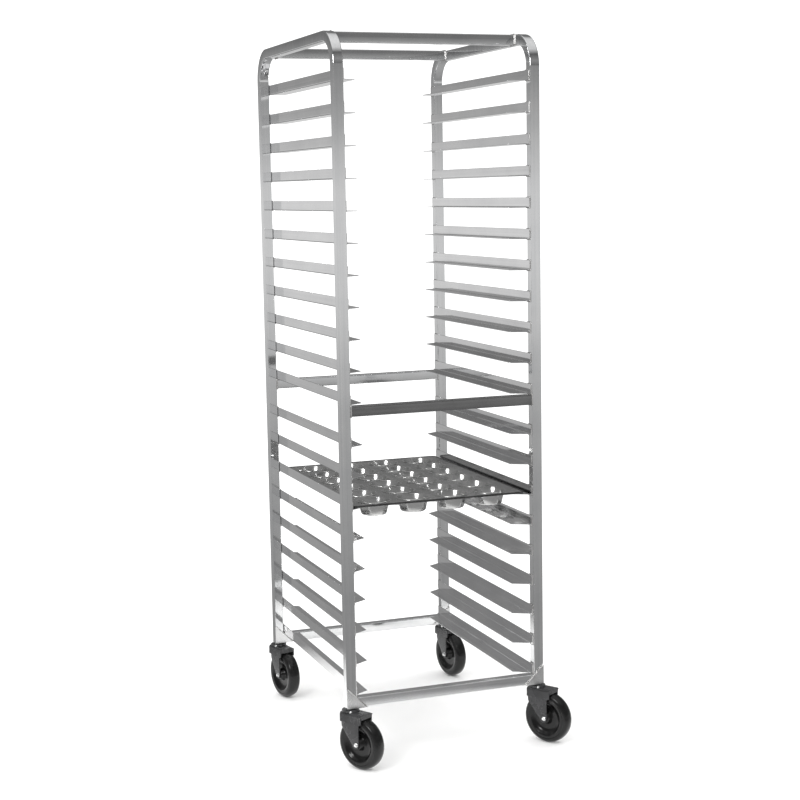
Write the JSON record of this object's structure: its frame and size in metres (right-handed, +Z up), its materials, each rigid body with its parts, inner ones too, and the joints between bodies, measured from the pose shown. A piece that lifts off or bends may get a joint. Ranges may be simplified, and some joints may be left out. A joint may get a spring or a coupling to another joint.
{
  "type": "sheet pan rack",
  "caption": "Tall open rack of bent square tube with L-shaped runners for sheet pans, welded crossbars, swivel casters and a muffin pan on one tier.",
  "frame": {"origin": "on the floor, midway between the four posts", "axes": "+Z up, -Y out of the open front that the pans slide through, +X to the right seen from the front"},
  "size_m": [0.5866, 0.7465, 1.761],
  "materials": {
    "tube_metal": "mill polished tube",
    "runner_metal": "satin extrusion",
    "fork_paint": "gloss black",
    "wheel_rubber": "semi gloss black",
    "pan_metal": "bright coated sheet"
  },
  "bodies": {
    "rack_frame": {"left_side_frame": "tube_metal", "right_side_frame": "tube_metal", "front_top_crossbar": "tube_metal", "front_middle_crossbar": "tube_metal", "front_bottom_crossbar": "tube_metal", "rear_top_crossbar": "tube_metal", "rear_middle_crossbar": "tube_metal", "rear_bottom_crossbar": "tube_metal", "left_runner_01": "runner_metal", "left_runner_02": "runner_metal", "left_runner_03": "runner_metal", "left_runner_04": "runner_metal", "left_runner_05": "runner_metal", "left_runner_06": "runner_metal", "left_runner_07": "runner_metal", "left_runner_08": "runner_metal", "left_runner_09": "runner_metal", "left_runner_10": "runner_metal", "left_runner_11": "runner_metal", "left_runner_12": "runner_metal", "left_runner_13": "runner_metal", "left_runner_14": "runner_metal", "left_runner_15": "runner_metal", "left_runner_16": "runner_metal", "left_runner_17": "runner_metal", "left_runner_18": "runner_metal", "left_runner_19": "runner_metal", "left_runner_20": "runner_metal", "right_runner_01": "runner_metal", "right_runner_02": "runner_metal", "right_runner_03": "runner_metal", "right_runner_04": "runner_metal", "right_runner_05": "runner_metal", "right_runner_06": "runner_metal", "right_runner_07": "runner_metal", "right_runner_08": "runner_metal", "right_runner_09": "runner_metal", "right_runner_10": "runner_metal", "right_runner_11": "runner_metal", "right_runner_12": "runner_metal", "right_runner_13": "runner_metal", "right_runner_14": "runner_metal", "right_runner_15": "runner_metal", "right_runner_16": "runner_metal", "right_runner_17": "runner_metal", "right_runner_18": "runner_metal", "right_runner_19": "runner_metal", "right_runner_20": "runner_metal"},
    "front_left_fork": {"front_left_caster_fork": "fork_paint"},
    "front_left_wheel": {"front_left_caster_wheel": "wheel_rubber"},
    "front_right_fork": {"front_right_caster_fork": "fork_paint"},
    "front_right_wheel": {"front_right_caster_wheel": "wheel_rubber"},
    "rear_left_fork": {"rear_left_caster_fork": "fork_paint"},
    "rear_left_wheel": {"rear_left_caster_wheel": "wheel_rubber"},
    "rear_right_fork": {"rear_right_caster_fork": "fork_paint"},
    "rear_right_wheel": {"rear_right_caster_wheel": "wheel_rubber"},
    "muffin_pan": {"muffin_pan": "pan_metal"}
  },
  "joints": [
    {"name": "front_left_swivel", "type": "hinge", "parent": "rack_frame", "child": "front_left_fork", "pos_m": [-0.2488, -0.3138, 0.137], "axis": [0, 0, 1], "continuous": true},
    {"name": "front_left_roll", "type": "hinge", "parent": "front_left_fork", "child": "front_left_wheel", "pos_m": [-0.2318, -0.34325, 0.0635], "axis": [0.866, 0.5, 0], "continuous": true},
    {"name": "front_right_swivel", "type": "hinge", "parent": "rack_frame", "child": "front_right_fork", "pos_m": [0.2488, -0.3138, 0.137], "axis": [0, 0, 1], "continuous": true},
    {"name": "front_right_roll", "type": "hinge", "parent": "front_right_fork", "child": "front_right_wheel", "pos_m": [0.26682, -0.34263, 0.0635], "axis": [0.848, 0.5299, 0], "continuous": true},
    {"name": "rear_left_swivel", "type": "hinge", "parent": "rack_frame", "child": "rear_left_fork", "pos_m": [-0.2488, 0.3138, 0.137], "axis": [0, 0, 1], "continuous": true},
    {"name": "rear_left_roll", "type": "hinge", "parent": "rear_left_fork", "child": "rear_left_wheel", "pos_m": [-0.24173, 0.28054, 0.0635], "axis": [0.9781, 0.2079, 0], "continuous": true},
    {"name": "rear_right_swivel", "type": "hinge", "parent": "rack_frame", "child": "rear_right_fork", "pos_m": [0.2488, 0.3138, 0.137], "axis": [0, 0, 1], "continuous": true},
    {"name": "rear_right_roll", "type": "hinge", "parent": "rear_right_fork", "child": "rear_right_wheel", "pos_m": [0.2547, 0.28032, 0.0635], "axis": [0.9848, 0.1736, 0], "continuous": true},
    {"name": "pan_slide", "type": "slide", "parent": "rack_frame", "child": "muffin_pan", "axis": [0, -1, 0], "range_m": [0, 0.68]}
  ]
}
